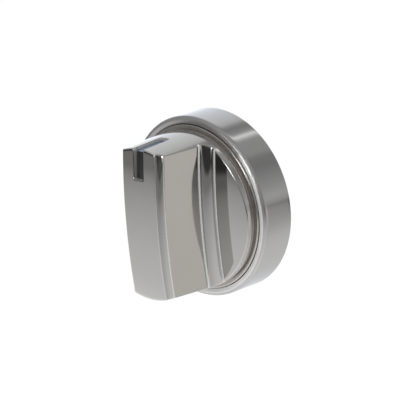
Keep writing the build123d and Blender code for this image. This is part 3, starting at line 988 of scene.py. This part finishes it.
def slot_bed_faces(bed, around, across):
    """The slot's floor as a ladder: rungs that join the outline's two halves, and a triangle at each end.

    The outline has around points, from number bed on. One half is walked back from the middle of its first
    across points, the other half forward.
    """
    one = (across // 2 - np.arange(around // 2 + 1)) % around
    other = (across - 1 - one) % around
    rungs = bed + np.stack([one[1:-2], one[2:-1], other[2:-1], other[1:-2]], -1)
    ends = [bed + np.array([one[k], one[k + step], other[k + step]]) for k, step in ((0, 1), (-1, -1))]
    return rungs.tolist() + [end.tolist() for end in ends]


class KNOB_OT_grip(bpy.types.Operator):
    """Build the plated finger grip with its coves, grooves, domed floors and pointer slot"""

    bl_idname = "knob.grip"
    bl_label = "Finger grip"

    def execute(self, context):
        form = GripForm(context.scene.knob_grip, context.scene.knob_slot)
        rows, *layout = grip_rows(form)
        strip, (first, last, left, right) = slot_patch(form, rows, *layout)
        down, wide = rows.shape[:2]
        skin = grid_faces(down, wide, down_closed=True)
        k, j = np.divmod(skin[:, 0], wide)
        skin = skin[~((k >= first) & (k < last) & (j >= left) & (j < right))]
        start, around = down * wide, strip.shape[1]
        walls = grid_faces(len(strip), around, across_closed=True, start=start)
        bed = slot_bed_faces(start + (len(strip) - 1) * around, around, right - left + 1)
        points = np.concatenate([rows.reshape(-1, 3), strip.reshape(-1, 3)])
        faces = skin.tolist() + walls.tolist() + bed
        plating = plating_material(context.scene.knob_colours, form)
        piece = new_piece("plated_grip", points, faces, "grip_cover", plating)
        shade_round_end(piece.data, form)
        return {"FINISHED"}


class KNOB_OT_ring(bpy.types.Operator):
    """Build the skirt ring by turning its closed outline about the shaft's axis"""

    bl_idname = "knob.ring"
    bl_label = "Skirt ring"

    def execute(self, context):
        ring, grip = context.scene.knob_ring, context.scene.knob_grip
        front = ring.radius - ring.height * tan(ring.draft)
        mouth = ring.height - ring.mouth_drop
        throat = ring.mouth_radius + ring.sheet
        back = grip.seat_height - ring.sheet
        middle = (ring.radius - ring.sheet / 2, 0.0)
        corners = [
            middle,
            (ring.radius, 0.0),
            (front, ring.height),
            (ring.mouth_radius, mouth),
            (ring.mouth_radius, grip.seat_height),
            (ring.flange_radius, grip.seat_height),
            (ring.flange_radius, back),
            (throat, back),
            (throat, mouth - ring.sheet),
            (front - ring.sheet, ring.height - ring.sheet),
            (ring.radius - ring.sheet, 0.0),
            middle,
        ]
        cut, edge = ring.cut_edge, ring.mouth_edge
        edges = [cut, ring.lip, edge, edge / 2, cut, cut, edge, cut, ring.lip - ring.sheet, cut]
        straight = [0] * len(RING_STEPS)
        outline = joined(rounded_outline(corners, straight, edges, RING_STEPS, RING_EDGE_STEPS))[0][:-1]
        turn = np.linspace(0, 2 * np.pi, ring.segments, endpoint=False)[:, None]
        radius, height = outline.T
        points = np.stack([radius * np.cos(turn), 0 * turn - height, radius * np.sin(turn)], -1)
        faces = grid_faces(ring.segments, len(outline), down_closed=True, across_closed=True)
        material = ring_material(context.scene.knob_colours, ring)
        new_piece("brushed_ring", points.reshape(-1, 3), faces.tolist(), "skirt_ring", material)
        return {"FINISHED"}


class KNOB_OT_insides(bpy.types.Operator):
    """Give the pointer strip, the hub, its band, the shaft clip and the screws their finishes"""

    bl_idname = "knob.insides"
    bl_label = "Strip, hub and fixings"

    def execute(self, context):
        c = context.scene.knob_colours
        finishes = {
            "pointer_black": pointer_material(c, context.scene.knob_grip),
            "hub_plastic": moulding_material(c),
            "band_steel": zinc_material("band_steel", c, (1, 6, 1)),
            "screw_steel": zinc_material("screw_steel", c, (1, 1, 1)),
            "spring_steel": spring_material(c),
        }
        for name, node in frame["nodes"].items():
            if SLOTS[name] in finishes:
                node.material_slots[0].material = finishes[SLOTS[name]]
        return {"FINISHED"}


# Nearest and farthest that the camera sees, in metres
CLIP = (0.01, 50.0)
# The room's horizon lies a little askew: the light in front follows this mix of x, y and z
HORIZON = (0.052, 0.012, 1.0)
# Light in front by that mix, from straight down (-1) to straight up (1): both ends, then what lies between
STUDIO_FRONT = (
    (-1.0, 1.0),
    (1.0, 0.38),
    (-0.59, 0.80),
    (-0.45, 0.72),
    (-0.38, 0.66),
    (-0.32, 0.58),
    (-0.255, 0.48),
    (-0.222, 0.41),
    (-0.198, 0.33),
    (-0.181, 0.225),
    (-0.155, 0.24),
    (-0.143, 0.235),
    (-0.132, 0.04),
    (-0.06, 0.045),
    (-0.02, 0.20),
    (0.12, 0.32),
    (0.60, 0.36),
)
# Light behind by the angle in degrees round the knob's axis, from the right (0) over the top (90), in the
# same order
STUDIO_BACK = (
    (-180.0, 1.20),
    (180.0, 1.20),
    (-166.0, 1.31),
    (-154.0, 1.09),
    (-142.0, 0.94),
    (-130.0, 0.82),
    (-94.0, 0.75),
    (-62.0, 0.73),
    (-46.0, 0.67),
    (-34.0, 0.53),
    (-22.0, 0.36),
    (-14.0, 0.22),
    (-8.0, 0.08),
    (-3.0, 0.42),
    (4.0, 0.51),
    (18.0, 0.39),
    (42.0, 0.25),
    (53.0, 0.26),
    (62.0, 0.38),
    (80.0, 0.38),
    (84.0, 0.55),
    (88.5, 1.15),
    (93.0, 0.40),
    (104.0, 0.26),
    (110.0, 0.38),
    (114.0, 0.60),
    (122.0, 0.70),
    (150.0, 0.86),
    (166.0, 0.99),
)
# The light behind turns cooler between these angles from the right, by these shares of red, green and blue
COOL_FROM, COOL_TO, COOL = 110.0, 160.0, (-0.05, 0.0, 0.07)
# Where the light behind takes over from the light in front, as the ray's part along the axis
BACK_STARTS = (0.30, 0.56)
# Soft cards: azimuth, elevation, half width, half height and softness in degrees, and light
STUDIO_CARDS = (
    (120, -16, 12, 12, 4, (0.65, 0.63, 0.605)),
    (-76, -25, 20, 10, 3, (1.15, 1.15, 1.17)),
    (-14, 3, 6, 5, 3.5, (11.5, 11.3, 11.1)),
)


def direction(azimuth, elevation):
    """The unit direction at an azimuth from the front (-Y) towards +X and an elevation, both in degrees."""
    a, e = radians(azimuth), radians(elevation)
    return np.array([sin(a) * cos(e), -cos(a) * cos(e), sin(e)])


def light_ramp(tree, share, reach, stops, cool_from=None):
    """Light that runs straight from stop to stop. The stops' places lie between -reach and reach.

    The first two stops are the two ends, which a new ramp already has. Past cool_from on both sides the
    light turns cooler, up to the full tint at COOL_TO.
    """
    ramp = put(tree, "ShaderNodeValToRGB", {0: share})
    elements = ramp.color_ramp.elements
    for n, (place, level) in enumerate(stops):
        position = place / reach / 2 + 0.5
        stop = elements[n] if n < 2 else elements.new(position)
        stop.position = position
        cool = 0 if cool_from is None else np.clip((abs(place) - cool_from) / (COOL_TO - cool_from), 0, 1)
        stop.color = (*(level * (1 + cool * part) for part in COOL), 1)
    return ramp.outputs[0]


def card_mask(tree, ray, azimuth, elevation, half_width, half_height, soft):
    """1 where the ray points at a card, with soft edges. All angles are in degrees.

    A card has a middle direction and two directions along its edges. The mask is the product of a smooth
    step down at each pair of edges, and of a test that the ray points the card's way.
    """
    middle, side = direction(azimuth, elevation), direction(azimuth + 90, 0)
    mask = sums(tree, "GREATER_THAN", part_along(tree, ray, middle), 0.0)
    for axis, half in ((side, half_width), (np.cross(side, middle), half_height)):
        across = sums(tree, "ABSOLUTE", part_along(tree, ray, axis))
        edge, ease = sin(radians(half)), sin(radians(soft))
        mask = product(tree, mask, eased(tree, across, edge - ease, edge + ease, 1.0, 0.0))
    return mask


def studio_light(tree, ray):
    """The studio by direction.

    In front it changes with height: a pale table below, a dark room at eye level and a grey wall above.
    Behind, it changes with the angle round the knob's axis: a pale backdrop that turns darker to the right.
    Soft cards are laid over both.
    """
    x, y, z = put(tree, "ShaderNodeSeparateXYZ", {0: ray}).outputs
    rise = sums(tree, "MULTIPLY_ADD", part_along(tree, ray, HORIZON), 0.5, 0.5)
    round_axis = sums(tree, "MULTIPLY_ADD", sums(tree, "ARCTAN2", z, x), 0.5 / np.pi, 0.5)
    front = light_ramp(tree, rise, 1.0, STUDIO_FRONT)
    back = light_ramp(tree, round_axis, 180.0, STUDIO_BACK, COOL_FROM)
    light = mixed(tree, eased(tree, y, *BACK_STARTS), front, back)
    for *card, tint in STUDIO_CARDS:
        light = mixed(tree, card_mask(tree, ray, *card), light, tint)
    return light


def studio_world():
    """The world: the studio for the metal's reflections, plain white for the camera and matte surfaces."""
    world = bpy.data.worlds.new("studio")
    world.use_nodes = True
    tree = world.node_tree
    light = studio_light(tree, put(tree, "ShaderNodeTexCoord").outputs["Generated"])
    glossy = put(tree, "ShaderNodeLightPath").outputs["Is Glossy Ray"]
    seen = mixed(tree, glossy, (1.0, 1.0, 1.0), light)
    tree.links.new(seen, tree.nodes["Background"].inputs["Color"])
    return world


def pale_floor(stage):
    """One large square of pale paper, which glows a little where it is seen and keeps the knob's shadow."""
    half, low = stage.floor_size / 2, -stage.floor_depth
    corners = [(x * half, y * half, low) for x, y in ((-1, -1), (1, -1), (1, 1), (-1, 1))]
    mesh = bpy.data.meshes.new("floor")
    mesh.from_pydata(corners, [], [(0, 1, 2, 3)])
    material, tree, shader = finish_material("pale_floor", stage.floor_colour, 0, 0.9)
    shader.inputs["Specular IOR Level"].default_value = 0
    shader.inputs["Emission Color"].default_value = (1, 1, 1, 1)
    path = put(tree, "ShaderNodeLightPath").outputs
    seen = highest(tree, path["Is Camera Ray"], path["Is Glossy Ray"], path["Is Transmission Ray"])
    tree.links.new(product(tree, seen, stage.floor_glow), shader.inputs["Emission Strength"])
    mesh.materials.append(material)
    floor = bpy.data.objects.new("floor", mesh)
    floor.visible_glossy = False
    return floor


def studio_camera(stage):
    """The camera, turned by its azimuth, elevation and roll, and shifted by how far the origin lies aside.

    Level is the view crossed with the upright, and up is square to both. The roll turns them about the view
    into right and top. The place is the distance back along the view, less the shifts along right and top.
    """
    camera = bpy.data.objects.new("camera", bpy.data.cameras.new("camera"))
    camera.data.lens = stage.lens
    camera.data.clip_start, camera.data.clip_end = CLIP
    back = direction(np.degrees(stage.azimuth), np.degrees(stage.elevation))
    level = np.cross(-back, (0, 0, 1))
    level /= np.linalg.norm(level)
    up = np.cross(back, level)
    right = cos(stage.roll) * level + sin(stage.roll) * up
    top = cos(stage.roll) * up - sin(stage.roll) * level
    place = back * stage.distance - right * stage.aim_right - top * stage.aim_up
    camera.matrix_world = Matrix([*np.stack([right, top, back, place], 1).tolist(), (0, 0, 0, 1)])
    return camera


class KNOB_OT_stage(bpy.types.Operator):
    """Build the pale floor, the studio light and the camera"""

    bl_idname = "knob.stage"
    bl_label = "Stage"

    def execute(self, context):
        stage, scene = context.scene.knob_stage, context.scene
        floor, camera = pale_floor(stage), studio_camera(stage)
        for item in (floor, camera):
            scene.collection.objects.link(item)
        scene.camera = camera
        scene.world = studio_world()
        scene.view_settings.view_transform = "Standard"
        return {"FINISHED"}


class KNOB_PT_panel(bpy.types.Panel):
    """Lists the knob's pieces and the stage in the 3D view's sidebar"""

    bl_idname = "KNOB_PT_panel"
    bl_label = "Oven control knob"
    bl_space_type = "VIEW_3D"
    bl_region_type = "UI"
    bl_category = "Knob"

    def draw(self, context):
        for operator in OPERATORS:
            self.layout.operator(operator.bl_idname)
        for name, group in GROUPS.items():
            box = self.layout.box()
            box.label(text=group.bl_rna.name)
            for key in group.__annotations__:
                box.prop(getattr(context.scene, name), key)


GROUPS = {
    "knob_grip": KnobGripSizes,
    "knob_slot": KnobSlotSizes,
    "knob_ring": KnobRingSizes,
    "knob_colours": KnobColours,
    "knob_stage": KnobStage,
}
OPERATORS = (KNOB_OT_grip, KNOB_OT_ring, KNOB_OT_insides, KNOB_OT_stage)


def register():
    """Registers the classes and gives the scene its sizes and colours."""
    for name, group in GROUPS.items():
        bpy.utils.register_class(group)
        setattr(bpy.types.Scene, name, bpy.props.PointerProperty(type=group))
    for item in (*OPERATORS, KNOB_PT_panel):
        bpy.utils.register_class(item)


def unregister():
    """Takes back what register did."""
    for item in (KNOB_PT_panel, *reversed(OPERATORS)):
        bpy.utils.unregister_class(item)
    for name, group in GROUPS.items():
        delattr(bpy.types.Scene, name)
        bpy.utils.unregister_class(group)


def main():
    """Builds every piece and the stage."""
    register()
    bpy.ops.knob.grip()
    bpy.ops.knob.ring()
    bpy.ops.knob.insides()
    bpy.ops.knob.stage()


if __name__ == "__main__":
    main()
